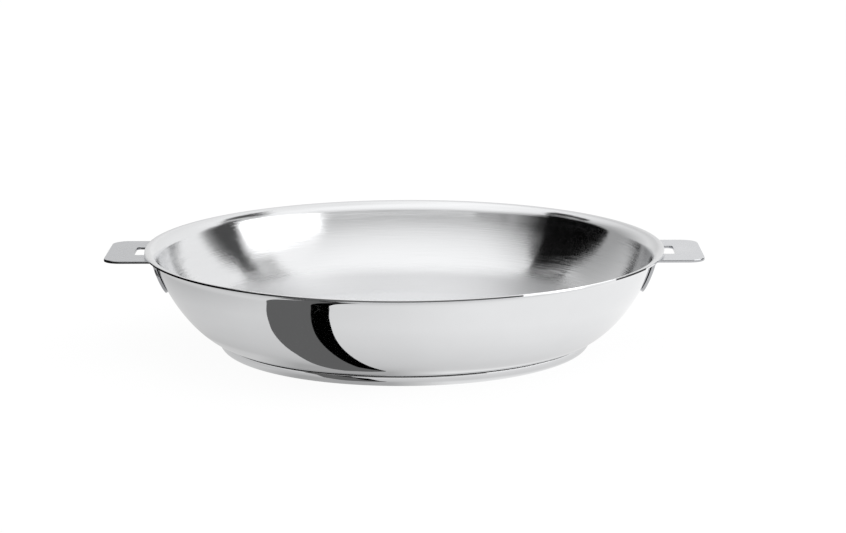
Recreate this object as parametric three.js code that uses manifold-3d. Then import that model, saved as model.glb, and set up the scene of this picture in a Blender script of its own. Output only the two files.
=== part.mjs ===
// A stainless steel frying pan with two side tabs for a clip-on handle.
// Millimetres. +Z is up, +X runs from tab to tab, and the origin is the middle of the underside.
import * as THREE from 'three';
import { mergeVertices } from 'three/addons/utils/BufferGeometryUtils.js';
import Module from 'manifold-3d';

// Overall sizes.
const LIP_RADIUS = 142; // outside of the pouring lip
const HEIGHT = 54.5; // from the table to the top of the lip

// The body, one deep-drawn sheet. Angles are slopes from the horizontal.
const BODY_SHEET = 1.2;
const FLOOR_RADIUS = 99; // flat part of the body's underside
const CORNER_BEND = 15; // outside radius between floor and wall
const WALL_FOOT_SLOPE = THREE.MathUtils.degToRad(29);
const WALL_TOP_SLOPE = THREE.MathUtils.degToRad(75);
const WALL_FULLNESS = 0.3; // how far the end slopes carry into the wall, as a share of its chord
const LIP_BEND = 6.5; // outside radius of the flare
const LIP_SLOPE = THREE.MathUtils.degToRad(7);

// The base: a thick aluminium disc brazed under the body and closed in by a steel cap.
const CAP_SHEET = 0.7;
const BRAZE = 0.2; // each of the two brazing layers
const DISC_THICKNESS = 4.5;
const CAP_MARGIN = 2.9; // foot of the cap past the flat of the body's underside
const CAP_FILLET = 3.5; // outside radius round the foot
const SEAM_RISE = 0.3; // where the cap's edge meets the body, above the body's underside
const SEAM_GAP = 0.5; // the open line above the cap's edge
const DISC_GAP = 0.4; // between the disc's edge and the cap

// The handle tabs: flat plates bent down into a leg that is welded to the wall.
const TAB_SHEET = 1.5;
const TAB_REACH = 20.7; // how far a tab stands out past the lip
const TAB_WIDTH = 57;
const TAB_CORNER = 9; // corner radius of the free end
const TAB_DROP = 2.6; // top of a tab below the top of the lip
const TAB_GAP = 0.3; // between leg and wall along the middle of the leg
const TAB_LEAVE_SLOPE = THREE.MathUtils.degToRad(50); // the flare's slope where the tab leaves it
const LEG_LENGTH = 16.7; // below the start of the flare
const LEG_WIDTH = 50;
const LEG_CORNER = 14; // corner radius of the leg's lower end
const LEG_TAPER = 4; // height over which the leg widens to the tab's width
const LEG_ROLL_EASE = 14; // how much wider than the wall the leg is rolled, in radius
const WINDOW_REACH = 5.8; // outer edge of the window past the lip
const WINDOW_DEPTH = 8;
const WINDOW_WIDTH = 22.5;
const WINDOW_CORNER = 2;

// Three spot welds hold each leg: two near its top and one near its lower end.
const WELD_RADIUS = 2.2;
const WELD_GAP = 0.3; // round a weld and behind it
const WELD_RECESS = 0.2; // a weld's face below the outside of the leg
const WELD_SPREAD = 12; // sideways from the middle to each upper weld
const WELD_UPPER = 5; // upper welds below the start of the flare
const WELD_LOWER = 11.5; // lower weld below the start of the flare

// Fineness of the round shapes.
const SEGMENTS = 72;
const LEG_SEGMENTS = 240;
const WELD_SEGMENTS = 16;

const wasm = await Module();
wasm.setup();

// Points along an arc that leaves `start` at slope `from` and ends at slope `to`.
function arc(start, from, to, radius, steps) {
  const turn = Math.sign(to - from) * radius;
  const points = [];
  for (let i = 0; i <= steps; i += 1) {
    const slope = THREE.MathUtils.lerp(from, to, i / steps);
    points.push({
      r: start.r + turn * (Math.sin(slope) - Math.sin(from)),
      z: start.z + turn * (Math.cos(from) - Math.cos(slope)),
      slope,
    });
  }
  return points;
}

// A point moved square to the sheet: outwards and down for a positive distance.
function offset(point, distance) {
  const r = point.r + distance * Math.sin(point.slope);
  const z = point.z - distance * Math.cos(point.slope);
  return new THREE.Vector2(r, z);
}

// A smooth wall between two points, leaving and arriving at their slopes.
function wallCurve(foot, top, steps) {
  const reach = Math.hypot(top.r - foot.r, top.z - foot.z) * WALL_FULLNESS;
  const curve = new THREE.CubicBezierCurve(
    new THREE.Vector2(foot.r, foot.z),
    new THREE.Vector2(foot.r + reach * Math.cos(foot.slope), foot.z + reach * Math.sin(foot.slope)),
    new THREE.Vector2(top.r - reach * Math.cos(top.slope), top.z - reach * Math.sin(top.slope)),
    new THREE.Vector2(top.r, top.z),
  );
  const points = [];
  for (let i = 1; i < steps; i += 1) {
    const at = curve.getPoint(i / steps);
    const along = curve.getTangent(i / steps);
    points.push({ r: at.x, z: at.y, slope: Math.atan2(along.y, along.x) });
  }
  return points;
}

// The stack of the base sets the height of the body's underside.
const discBottom = CAP_SHEET + BRAZE;
const discTop = discBottom + DISC_THICKNESS;
const bodyBottom = discTop + BRAZE;

// The outside of the body, from the edge of its flat underside to the lip.
const half = BODY_SHEET / 2;
const lipMiddle = { r: LIP_RADIUS - half, z: HEIGHT - half, slope: LIP_SLOPE };
const lipEnd = offset(lipMiddle, half);
const lipStart = {
  r: lipEnd.x - LIP_BEND * (Math.sin(WALL_TOP_SLOPE) - Math.sin(LIP_SLOPE)),
  z: lipEnd.y - LIP_BEND * (Math.cos(LIP_SLOPE) - Math.cos(WALL_TOP_SLOPE)),
  slope: WALL_TOP_SLOPE,
};
const corner = arc({ r: FLOOR_RADIUS, z: bodyBottom }, 0, WALL_FOOT_SLOPE, CORNER_BEND, 5);
const wall = wallCurve(corner[corner.length - 1], lipStart, 10);
const flare = arc(lipStart, WALL_TOP_SLOPE, LIP_SLOPE, LIP_BEND, 6);
const outside = [...corner, ...wall, ...flare];

// The point of the body's outside at a given height or radius.
function onOutside(key, value) {
  const i = outside.findIndex((p, k) => k > 0 && p[key] >= value);
  const [a, b] = [outside[i - 1], outside[i]];
  const t = (value - a[key]) / (b[key] - a[key]);
  return {
    r: THREE.MathUtils.lerp(a.r, b.r, t),
    z: THREE.MathUtils.lerp(a.z, b.z, t),
    slope: THREE.MathUtils.lerp(a.slope, b.slope, t),
  };
}

// Turns a profile of (radius, height) points about Z.
function turned(points, segments) {
  const geometry = new THREE.LatheGeometry(points, segments);
  geometry.rotateX(Math.PI / 2);
  return geometry;
}

function bodyGeometry() {
  const profile = [new THREE.Vector2(0, bodyBottom)];
  outside.forEach((p) => profile.push(offset(p, 0)));
  for (let i = 1; i < 4; i += 1) {
    const turn = { ...lipMiddle, slope: LIP_SLOPE + (i / 4) * Math.PI };
    profile.push(offset(turn, half));
  }
  [...outside].reverse().forEach((p) => profile.push(offset(p, -BODY_SHEET)));
  profile.push(new THREE.Vector2(0, bodyBottom + BODY_SHEET));
  return turned(profile, SEGMENTS);
}

// The cap's edge stops short of the body by the seam, flush with the wall above it.
const seam = onOutside('z', bodyBottom + SEAM_RISE);
const capEdge = new THREE.Vector2(seam.r, seam.z - SEAM_GAP);
const capInner = new THREE.Vector2(seam.r - CAP_SHEET, 0);
capInner.y = onOutside('r', capInner.x).z - SEAM_GAP;
const footCentre = new THREE.Vector2(FLOOR_RADIUS + CAP_MARGIN - CAP_FILLET, CAP_FILLET);
const sideLength = capEdge.distanceTo(footCentre);
const sideTurn = Math.atan2(capEdge.y - footCentre.y, capEdge.x - footCentre.x);
const footEnd = sideTurn - Math.acos(CAP_FILLET / sideLength);

// Points round the cap's foot, from its flat bottom to its side.
function footArc(radius) {
  const points = [];
  for (let i = 0; i <= 4; i += 1) {
    const angle = THREE.MathUtils.lerp(-Math.PI / 2, footEnd, i / 4);
    points.push(new THREE.Vector2(
      footCentre.x + radius * Math.cos(angle),
      footCentre.y + radius * Math.sin(angle),
    ));
  }
  return points;
}

function capGeometry() {
  const profile = [new THREE.Vector2(0, 0), ...footArc(CAP_FILLET), capEdge, capInner];
  profile.push(...footArc(CAP_FILLET - CAP_SHEET).reverse());
  profile.push(new THREE.Vector2(0, CAP_SHEET));
  return turned(profile, SEGMENTS);
}

// The disc's edge leans with the cap's side.
const capSide = footArc(CAP_FILLET - CAP_SHEET)[4];
const lean = (capInner.x - capSide.x) / (capInner.y - capSide.y);
const discTopRadius = capSide.x + lean * (discTop - capSide.y) - DISC_GAP;
const discFootRadius = footCentre.x;

function layerGeometry(bottom, top, bottomRadius, topRadius) {
  return turned([
    new THREE.Vector2(0, bottom),
    new THREE.Vector2(bottomRadius, bottom),
    new THREE.Vector2(topRadius, top),
    new THREE.Vector2(0, top),
  ], SEGMENTS);
}

// Closed geometry to a solid for joining and cutting, and back.
function toSolid(geometry) {
  const plain = geometry.index ? geometry.clone() : geometry;
  plain.deleteAttribute('normal');
  plain.deleteAttribute('uv');
  const merged = mergeVertices(plain);
  return new wasm.Manifold(new wasm.Mesh({
    numProp: 3,
    vertProperties: new Float32Array(merged.attributes.position.array),
    triVerts: new Uint32Array(merged.index.array),
  }));
}

function toGeometry(solid) {
  const mesh = solid.getMesh();
  const geometry = new THREE.BufferGeometry();
  geometry.setAttribute('position', new THREE.BufferAttribute(mesh.vertProperties, 3));
  geometry.setIndex(new THREE.BufferAttribute(mesh.triVerts, 1));
  geometry.computeVertexNormals();
  return geometry;
}

// The tab lies on +X here. Its leg follows the wall and the lower part of the flare, and its
// bend is tighter than the flare, so the flat part lies just under the lip.
const tabTop = HEIGHT - TAB_DROP;
const tabEnd = LIP_RADIUS + TAB_REACH;
const hugged = arc(lipStart, WALL_TOP_SLOPE, TAB_LEAVE_SLOPE, LIP_BEND, 3);
const leave = offset(hugged[hugged.length - 1], TAB_GAP);
const tabBend = (tabTop - leave.y) / (1 - Math.cos(TAB_LEAVE_SLOPE));
const legFoot = onOutside('z', lipStart.z - LEG_LENGTH);

// One side of the tab's sheet, from the foot of the leg to beyond its free end.
function tabSide(distance) {
  const leg = [legFoot, ...wall.filter((p) => p.z > legFoot.z), ...hugged];
  const points = leg.map((p) => offset(p, distance));
  const from = { r: points[points.length - 1].x, z: points[points.length - 1].y };
  const bend = arc(from, TAB_LEAVE_SLOPE, 0, tabBend + TAB_GAP - distance, 5);
  bend.slice(1).forEach((p) => points.push(offset(p, 0)));
  points.push(new THREE.Vector2(tabEnd + TAB_WIDTH, points[points.length - 1].y));
  return points;
}

// A rectangle with its corners rounded, for cutting and for outlines.
function roundedRectangle(x0, y0, x1, y1, radius) {
  const shape = new THREE.Shape();
  shape.moveTo(x0 + radius, y0);
  shape.lineTo(x1 - radius, y0);
  shape.absarc(x1 - radius, y0 + radius, radius, -Math.PI / 2, 0, false);
  shape.lineTo(x1, y1 - radius);
  shape.absarc(x1 - radius, y1 - radius, radius, 0, Math.PI / 2, false);
  shape.lineTo(x0 + radius, y1);
  shape.absarc(x0 + radius, y1 - radius, radius, Math.PI / 2, Math.PI, false);
  shape.lineTo(x0, y0 + radius);
  shape.absarc(x0 + radius, y0 + radius, radius, Math.PI, 1.5 * Math.PI, false);
  return shape;
}

function prism(shape, depth) {
  return new THREE.ExtrudeGeometry(shape, { depth, bevelEnabled: false, curveSegments: 6 });
}

// The leg's outline seen from the end of the tab: a tongue that widens up to the tab.
function legOutline() {
  const shape = new THREE.Shape();
  const foot = offset(legFoot, TAB_GAP + TAB_SHEET).y;
  const neck = lipStart.z - LEG_TAPER / 2;
  const side = LEG_WIDTH / 2;
  const wide = TAB_WIDTH / 2;
  shape.moveTo(-side + LEG_CORNER, foot);
  shape.lineTo(side - LEG_CORNER, foot);
  shape.absarc(side - LEG_CORNER, foot + LEG_CORNER, LEG_CORNER, -Math.PI / 2, 0, false);
  shape.lineTo(side, Math.max(neck, foot + LEG_CORNER));
  shape.lineTo(wide, neck + LEG_TAPER);
  shape.lineTo(wide, HEIGHT);
  shape.lineTo(-wide, HEIGHT);
  shape.lineTo(-wide, neck + LEG_TAPER);
  shape.lineTo(-side, Math.max(neck, foot + LEG_CORNER));
  shape.absarc(-side + LEG_CORNER, foot + LEG_CORNER, LEG_CORNER, Math.PI, 1.5 * Math.PI, false);
  return shape;
}

// How far the rolled leg stands off the wall at a sideways distance from its middle.
function standOff(radius, sideways) {
  const leg = Math.sqrt((radius + LEG_ROLL_EASE) ** 2 - sideways ** 2) - LEG_ROLL_EASE;
  return leg - Math.sqrt(radius ** 2 - sideways ** 2) + TAB_GAP;
}

// Where each weld sits on the wall, with the wall's outward direction there.
const weldPlaces = [
  { name: 'front', sideways: -WELD_SPREAD, drop: WELD_UPPER },
  { name: 'lower', sideways: 0, drop: WELD_LOWER },
  { name: 'back', sideways: WELD_SPREAD, drop: WELD_UPPER },
].map((place) => {
  const on = onOutside('z', lipStart.z - place.drop);
  const turn = Math.asin(place.sideways / on.r);
  const out = new THREE.Vector3(
    Math.sin(on.slope) * Math.cos(turn),
    Math.sin(on.slope) * Math.sin(turn),
    -Math.cos(on.slope),
  );
  const at = new THREE.Vector3(on.r * Math.cos(turn), place.sideways, on.z);
  return { ...place, at, out, standOff: standOff(on.r, place.sideways) };
});

// A round plug square to the wall, between two distances from it.
function plug(place, radius, near, far) {
  const geometry = new THREE.CylinderGeometry(radius, radius, far - near, WELD_SEGMENTS);
  const turn = new THREE.Quaternion().setFromUnitVectors(new THREE.Vector3(0, 1, 0), place.out);
  geometry.applyQuaternion(turn);
  const middle = place.at.clone().addScaledVector(place.out, (near + far) / 2);
  geometry.translate(middle.x, middle.y, middle.z);
  return geometry;
}

function tabGeometry() {
  const section = [...tabSide(TAB_GAP), ...tabSide(TAB_GAP + TAB_SHEET).reverse()];
  section.push(section[0].clone());
  section.forEach((p) => { p.x += LEG_ROLL_EASE; });
  const ring = turned(section.reverse(), LEG_SEGMENTS);
  ring.translate(-LEG_ROLL_EASE, 0, 0);

  const across = TAB_WIDTH / 2;
  const outline = prism(roundedRectangle(0, -across, tabEnd, across, TAB_CORNER), HEIGHT);
  const front = prism(legOutline(), 2 * tabEnd);
  front.applyMatrix4(new THREE.Matrix4().makeBasis(
    new THREE.Vector3(0, 1, 0),
    new THREE.Vector3(0, 0, 1),
    new THREE.Vector3(1, 0, 0),
  ));
  const windowEnd = LIP_RADIUS + WINDOW_REACH;
  const opening = prism(roundedRectangle(
    windowEnd - WINDOW_DEPTH,
    -WINDOW_WIDTH / 2,
    windowEnd,
    WINDOW_WIDTH / 2,
    WINDOW_CORNER,
  ), HEIGHT);

  let solid = toSolid(ring).intersect(toSolid(outline)).intersect(toSolid(front));
  solid = solid.subtract(toSolid(opening));
  weldPlaces.forEach((place) => {
    const reach = 2 * (place.standOff + TAB_SHEET);
    solid = solid.subtract(toSolid(plug(place, WELD_RADIUS + WELD_GAP, -TAB_SHEET, reach)));
  });
  return toGeometry(solid);
}

function weldGeometry(place) {
  const face = place.standOff + TAB_SHEET - WELD_RECESS;
  return plug(place, WELD_RADIUS, WELD_GAP, face);
}

// Finishes.
const polished = { color: 0xd2d4d8, roughness: 0.12, metalness: 1 };
const satin = { color: 0xbfc1c5, roughness: 0.35, metalness: 1 };
const aluminium = { color: 0xb4b7ba, roughness: 0.5, metalness: 1 };
const filler = { color: 0x9a9b98, roughness: 0.6, metalness: 1 };
const weldSteel = { color: 0x8d8c8a, roughness: 0.55, metalness: 1 };

function piece(name, geometry, finish) {
  const mesh = new THREE.Mesh(geometry, new THREE.MeshStandardMaterial(finish));
  mesh.name = name;
  return mesh;
}

// One tab with its welds, turned about Z to its side of the pan.
function tabGroup(side, turn) {
  const group = new THREE.Group();
  group.add(piece(`${side}_handle_tab`, tabGeometry(), satin));
  weldPlaces.forEach((place) => {
    group.add(piece(`${side}_weld_${place.name}`, weldGeometry(place), weldSteel));
  });
  group.rotation.z = turn;
  return group;
}

const upperBraze = layerGeometry(discTop, bodyBottom, FLOOR_RADIUS, FLOOR_RADIUS);
const disc = layerGeometry(discBottom, discTop, discFootRadius, discTopRadius);
const lowerBraze = layerGeometry(CAP_SHEET, discBottom, discFootRadius, discFootRadius);

const pan = new THREE.Group();
pan.name = 'frying_pan';
pan.add(piece('pan_body', bodyGeometry(), polished));
pan.add(piece('upper_braze_layer', upperBraze, filler));
pan.add(piece('heat_spreader_disc', disc, aluminium));
pan.add(piece('lower_braze_layer', lowerBraze, filler));
pan.add(piece('base_cap', capGeometry(), polished));
pan.add(tabGroup('right', 0));
pan.add(tabGroup('left', Math.PI));

export default pan;
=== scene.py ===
# %% [markdown]
# # A stainless steel frying pan with two handle tabs
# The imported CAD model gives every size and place. This lesson gives the pan its looks: sheets that
# are turned smooth, pressed tabs with rounded edges, and polished, brushed and satin steel.

# %% Load the frame
import math

import bpy
from mathutils import Matrix, Vector


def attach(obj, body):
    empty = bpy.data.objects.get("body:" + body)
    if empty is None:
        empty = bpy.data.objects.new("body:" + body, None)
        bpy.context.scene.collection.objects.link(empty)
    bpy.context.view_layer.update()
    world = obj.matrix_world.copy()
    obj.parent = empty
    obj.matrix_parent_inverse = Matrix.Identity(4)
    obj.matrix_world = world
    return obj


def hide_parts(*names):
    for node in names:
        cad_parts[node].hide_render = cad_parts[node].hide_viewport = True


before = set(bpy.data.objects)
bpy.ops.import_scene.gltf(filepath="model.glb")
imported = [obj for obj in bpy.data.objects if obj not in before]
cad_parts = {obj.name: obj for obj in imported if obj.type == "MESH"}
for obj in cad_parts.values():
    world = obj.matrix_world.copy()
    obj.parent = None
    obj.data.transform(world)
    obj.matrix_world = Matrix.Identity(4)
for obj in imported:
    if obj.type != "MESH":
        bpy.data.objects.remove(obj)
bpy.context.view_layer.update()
print("CAD nodes:", ", ".join(sorted(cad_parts)))

# %% [markdown]
# ## Sizes
# A maker writes a pan down in millimetres, so the sections below are in millimetres too, and one
# factor turns them into Blender's metres. Slopes are angles from the horizontal.

# %% Sizes of the body and the base
MM = 0.001
LIP_RADIUS, HEIGHT = 142.0, 54.5
BODY_SHEET, FLOOR_RADIUS, CORNER_BEND = 1.2, 99.0, 15.0
WALL_FOOT_SLOPE, WALL_TOP_SLOPE, WALL_FULLNESS = math.radians(29), math.radians(75), 0.3
LIP_BEND, LIP_SLOPE = 6.5, math.radians(7)
CAP_SHEET, BRAZE, DISC_THICKNESS = 0.7, 0.2, 4.5
CAP_MARGIN, CAP_FILLET, SEAM_RISE, SEAM_GAP = 2.9, 3.5, 0.3, 0.5
BODY_BOTTOM = CAP_SHEET + BRAZE + DISC_THICKNESS + BRAZE
TURNS = 192
print("underside of the body at", round(BODY_BOTTOM, 2), "mm")

# %% [markdown]
# ## The camera
# A photograph is matched by one camera: where it stands, how long its lens is, and how the frame was
# cropped. The crop is a small shift, so that the pan sits left of the middle and a little low.

# %% Place the camera
AIM, STAND_OFF = Vector((0, 0, 0.025)), 1.46998
ELEVATION, SWING, TILT = math.radians(12.26), math.radians(0.72), math.radians(0.28)
SENSOR_WIDTH, LENS, CROP_SHIFT = 36.0, 113.55, (0.0218, 0.0374)
camera = bpy.data.objects.new("camera", bpy.data.cameras.new("camera"))
bpy.context.scene.collection.objects.link(camera)
camera.data.sensor_width, camera.data.lens = SENSOR_WIDTH, LENS
camera.data.shift_x, camera.data.shift_y = CROP_SHIFT
back = Vector((math.sin(SWING) * math.cos(ELEVATION), -math.cos(SWING) * math.cos(ELEVATION),
               math.sin(ELEVATION)))
right = Vector((0, 0, 1)).cross(back).normalized()
up = back.cross(right)
right, up = (right * math.cos(TILT) - up * math.sin(TILT),
             up * math.cos(TILT) + right * math.sin(TILT))
facing = Matrix((right, up, back)).transposed().to_4x4()
camera.matrix_world = Matrix.Translation(AIM + back * STAND_OFF) @ facing
bpy.context.scene.camera = camera
bpy.context.scene.view_settings.view_transform = "Standard"
print("camera at", [round(v, 3) for v in camera.matrix_world.translation])

# %% [markdown]
# ## A small kit for modelling by hand
# Most of the pan is turned sheet, so we draw half of its section and spin it. Drawing by hand in edit
# mode means starting from one point and extruding it again and again along the section. A spin leaves
# a double row where it meets itself and a heap of points on the axis, so they are merged afterwards.

# %% Draw a line of points and turn it about Z
MERGE_WITHIN, SMOOTH_UP_TO = 0.002, math.radians(40)


def fresh_start():
    if bpy.context.object and bpy.context.object.mode != "OBJECT":
        bpy.ops.object.mode_set(mode="OBJECT")
    bpy.ops.object.select_all(action="DESELECT")


def draw_line(name, points):
    fresh_start()
    bpy.ops.mesh.primitive_plane_add(size=MM, location=(0, 0, 0))
    piece = bpy.context.object
    piece.name = piece.data.name = name
    bpy.ops.object.mode_set(mode="EDIT")
    bpy.ops.mesh.select_mode(type="VERT")
    bpy.ops.mesh.select_all(action="SELECT")
    bpy.ops.mesh.merge(type="CENTER")
    bpy.ops.transform.translate(value=Vector(points[0]) * MM)
    for here, there in zip(points, points[1:]):
        step = (Vector(there) - Vector(here)) * MM
        bpy.ops.mesh.extrude_region_move(TRANSFORM_OT_translate={"value": step})
    return piece


def turn_section(name, section):
    piece = draw_line(name, [(r, 0, z) for r, z in section])
    bpy.ops.mesh.select_all(action="SELECT")
    bpy.ops.mesh.spin(steps=TURNS, angle=math.tau, center=(0, 0, 0), axis=(0, 0, 1))
    bpy.ops.mesh.select_all(action="SELECT")
    bpy.ops.mesh.remove_doubles(threshold=MERGE_WITHIN * MM)
    bpy.ops.mesh.normals_make_consistent(inside=False)
    bpy.ops.object.mode_set(mode="OBJECT")
    bpy.ops.object.shade_smooth_by_angle(angle=SMOOTH_UP_TO)
    print(name, "has", len(piece.data.polygons), "faces")
    return piece


# %% [markdown]
# A section is a row of points, each with its radius, its height and the slope of the sheet there. A bend
# adds an arc to the row, and a point beside the row is found square to the slope, so that one line gives
# both faces of a sheet.

# %% Bend a line and step beside it
def bend(start, slope_from, slope_to, radius, steps):
    turn = math.copysign(radius, slope_to - slope_from)
    slopes = [slope_from + (slope_to - slope_from) * i / steps for i in range(steps + 1)]
    return [(start[0] + turn * (math.sin(s) - math.sin(slope_from)),
             start[1] + turn * (math.cos(slope_from) - math.cos(s)), s) for s in slopes]


def beside(point, distance):
    r, z, slope = point
    return (r + distance * math.sin(slope), z - distance * math.cos(slope))


print("a quarter bend of 10 mm ends at", [round(v, 2) for v in bend((0, 0), 0, math.pi / 2, 10, 4)[-1]])

# %% [markdown]
# ## The body
# The body is one deep-drawn sheet: a flat floor, a soft corner, a wall that steepens as it rises, and
# a lip that flares out for pouring. The same outside line, moved in by the sheet's thickness, is the
# inside. The wall could be an arc, but a real one is fuller near the lip, so it is a smooth curve between
# two slopes.

# %% The outside line of the body
CORNER_STEPS, WALL_STEPS, FLARE_STEPS = 12, 30, 18
half_sheet = BODY_SHEET / 2
lip_middle = (LIP_RADIUS - half_sheet, HEIGHT - half_sheet, LIP_SLOPE)
lip_end = beside(lip_middle, half_sheet)
lip_start = (lip_end[0] - LIP_BEND * (math.sin(WALL_TOP_SLOPE) - math.sin(LIP_SLOPE)),
             lip_end[1] - LIP_BEND * (math.cos(LIP_SLOPE) - math.cos(WALL_TOP_SLOPE)))
corner_line = bend((FLOOR_RADIUS, BODY_BOTTOM), 0, WALL_FOOT_SLOPE, CORNER_BEND, CORNER_STEPS)


def wall_line(steps):
    foot = Vector(corner_line[-1][:2])
    top = Vector(lip_start)
    reach = (top - foot).length * WALL_FULLNESS
    a = foot + reach * Vector((math.cos(WALL_FOOT_SLOPE), math.sin(WALL_FOOT_SLOPE)))
    b = top - reach * Vector((math.cos(WALL_TOP_SLOPE), math.sin(WALL_TOP_SLOPE)))
    points = []
    for i in range(1, steps):
        t = i / steps
        at = (1 - t)**3 * foot + 3 * t * (1 - t)**2 * a + 3 * t * t * (1 - t) * b + t**3 * top
        along = (1 - t)**2 * (a - foot) + 2 * t * (1 - t) * (b - a) + t * t * (top - b)
        points.append((at.x, at.y, math.atan2(along.y, along.x)))
    return points


wall_points = wall_line(WALL_STEPS)
flare_line = bend(lip_start, WALL_TOP_SLOPE, LIP_SLOPE, LIP_BEND, FLARE_STEPS)
outside_line = corner_line + wall_points + flare_line
print("lip starts at", [round(v, 2) for v in lip_start])

# %% [markdown]
# The lip's edge is cut square. Its lower corner is only just broken, and its upper corner, where hands and
# spoons touch it, is rounded off more. A ring close beside each corner holds the edge flat between them.
# The floor is given a few rings too, so that its shading stays even, and then the section is spun.

# %% Turn the body
LOWER_CORNER, UPPER_CORNER, HOLDING_RING, LIP_EDGE_STEPS = 0.12, 0.3, 0.04, 8


def lip_edge(steps):
    along = Vector((math.cos(LIP_SLOPE), math.sin(LIP_SLOPE)))
    across = Vector((-along.y, along.x))
    middle = Vector(lip_middle[:2])
    points = []
    for side, start, rounding in ((-1, -90, LOWER_CORNER), (1, 0, UPPER_CORNER)):
        centre = middle + (along + across * side) * (half_sheet - rounding)
        corner = []
        for i in range(steps + 1):
            angle = math.radians(start + 90 * i / steps)
            corner.append(centre + rounding * (along * math.cos(angle) + across * math.sin(angle)))
        beside_corner = centre + along * rounding - across * side * HOLDING_RING
        points += corner + [beside_corner] if side < 0 else [beside_corner] + corner
    return [tuple(p) for p in points]


flat_rings = [0, 30, 60, 90, 97]
body_section = [(r, BODY_BOTTOM) for r in flat_rings]
body_section += [beside(p, 0) for p in outside_line] + lip_edge(LIP_EDGE_STEPS)
body_section += [beside(p, -BODY_SHEET) for p in reversed(outside_line)]
body_section += [(r, BODY_BOTTOM + BODY_SHEET) for r in reversed(flat_rings)]
pan_body = turn_section("pan_body_sheet", body_section)

# %% [markdown]
# ## The base cap
# A thin steel cup closes in the aluminium disc. Its foot is well rounded, its side stands upright, and its
# edge stops half a millimetre short of the body, which leaves the fine dark seam round the pan. It is
# turned like the body, from a section that goes round the foot, over the edge and back inside.

# %% Turn the base cap
seam_slope = math.acos(1 - SEAM_RISE / CORNER_BEND)
seam = (FLOOR_RADIUS + CORNER_BEND * math.sin(seam_slope), BODY_BOTTOM + SEAM_RISE)
cap_edge = Vector((seam[0], seam[1] - SEAM_GAP))
foot_centre = Vector((FLOOR_RADIUS + CAP_MARGIN - CAP_FILLET, CAP_FILLET))
to_edge = cap_edge - foot_centre
foot_end = math.atan2(to_edge.y, to_edge.x) - math.acos(CAP_FILLET / to_edge.length)
CAP_EDGE_ROUND, CAP_EDGE_FALL, FOOT_STEPS, INNER_FOOT_STEPS = 0.12, 0.12, 10, 6


def foot_round(radius, steps):
    angles = [-math.pi / 2 + (foot_end + math.pi / 2) * i / steps for i in range(steps + 1)]
    return [(foot_centre.x + radius * math.cos(a), foot_centre.y + radius * math.sin(a)) for a in angles]


def cap_rim():
    outer_foot = Vector(foot_round(CAP_FILLET, FOOT_STEPS)[-1])
    rise = (cap_edge - outer_foot).normalized()
    inner = cap_edge - Vector((CAP_SHEET, CAP_EDGE_FALL))
    level = (inner - cap_edge).normalized()
    return [tuple(outer_foot.lerp(cap_edge, 0.5)), tuple(cap_edge - rise * CAP_EDGE_ROUND),
            tuple(cap_edge + (level - rise) * CAP_EDGE_ROUND * 0.3), tuple(cap_edge + level * CAP_EDGE_ROUND),
            tuple(inner)]


cap_section = [(r, 0) for r in flat_rings] + foot_round(CAP_FILLET, FOOT_STEPS) + cap_rim()
cap_section += foot_round(CAP_FILLET - CAP_SHEET, INNER_FOOT_STEPS)[::-1]
cap_section += [(r, CAP_SHEET) for r in reversed(flat_rings)]
base_cap = turn_section("base_cap_cup", cap_section)

# %% [markdown]
# ## The handle tabs
# Each tab is a plate that a press cuts from flat sheet and then bends: a flat end with a window for the
# handle's claw, and a leg that is welded under the lip. We work in the press's order. First comes the
# flat blank, from a cube that is extruded and bevelled. Then the window and the weld pockets are cut.
# Last, each point is carried from the flat blank to the bent and rolled shape.

# %% The line that the tab is bent along
TAB_SHEET, TAB_REACH, TAB_WIDTH, TAB_CORNER, TAB_DROP, TAB_GAP = 1.5, 20.7, 57.0, 9.0, 2.6, 0.3
TAB_LEAVE_SLOPE = math.radians(50)
LEG_LENGTH, LEG_WIDTH, LEG_CORNER, LEG_TAPER, LEG_ROLL_EASE = 16.7, 50.0, 14.0, 4.0, 14.0
WINDOW_REACH, WINDOW_DEPTH, WINDOW_WIDTH, WINDOW_CORNER = 5.8, 8.0, 22.5, 2.0
HUG_STEPS, TAB_BEND_STEPS = 6, 12


def on_outside(height):
    for low, high in zip(outside_line, outside_line[1:]):
        if low[1] <= height <= high[1]:
            t = (height - low[1]) / (high[1] - low[1])
            return tuple(a + (b - a) * t for a, b in zip(low, high))


def tab_line():
    foot = on_outside(lip_start[1] - LEG_LENGTH)
    hugged = bend(lip_start, WALL_TOP_SLOPE, TAB_LEAVE_SLOPE, LIP_BEND, HUG_STEPS)
    leg = [foot] + [p for p in wall_points if p[1] > foot[1]] + hugged
    line = [(*beside(p, TAB_GAP), p[2]) for p in leg]
    top = HEIGHT - TAB_DROP
    radius = (top - line[-1][1]) / (1 - math.cos(TAB_LEAVE_SLOPE))
    line += bend(line[-1], TAB_LEAVE_SLOPE, 0, radius, TAB_BEND_STEPS)[1:]
    line.append((LIP_RADIUS + TAB_REACH, top, 0.0))
    along, lengths = 0.0, []
    for k, p in enumerate(line):
        along += math.dist(p[:2], line[k - 1][:2]) if k else 0.0
        lengths.append(along)
    return lengths, line


tab_lengths, tab_points = tab_line()
BLANK_LENGTH, FLAT_START = tab_lengths[-1], tab_lengths[-2]
print("blank", round(BLANK_LENGTH, 2), "mm long, flat from", round(FLAT_START, 2))

# %% [markdown]
# The window and the welds are given by their radius and height on the pan, but the blank is marked out along
# its length. So one is looked up from the other.

# %% Find a place along the tab
def along_tab(column, value):
    """Length along the tab where its radius (0) or height (1) has this value."""
    for k in range(1, len(tab_points)):
        low, high = tab_points[k - 1][column], tab_points[k][column]
        if low <= value <= high and high > low:
            return tab_lengths[k - 1] + (tab_lengths[k] - tab_lengths[k - 1]) * (value - low) / (high - low)


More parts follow.
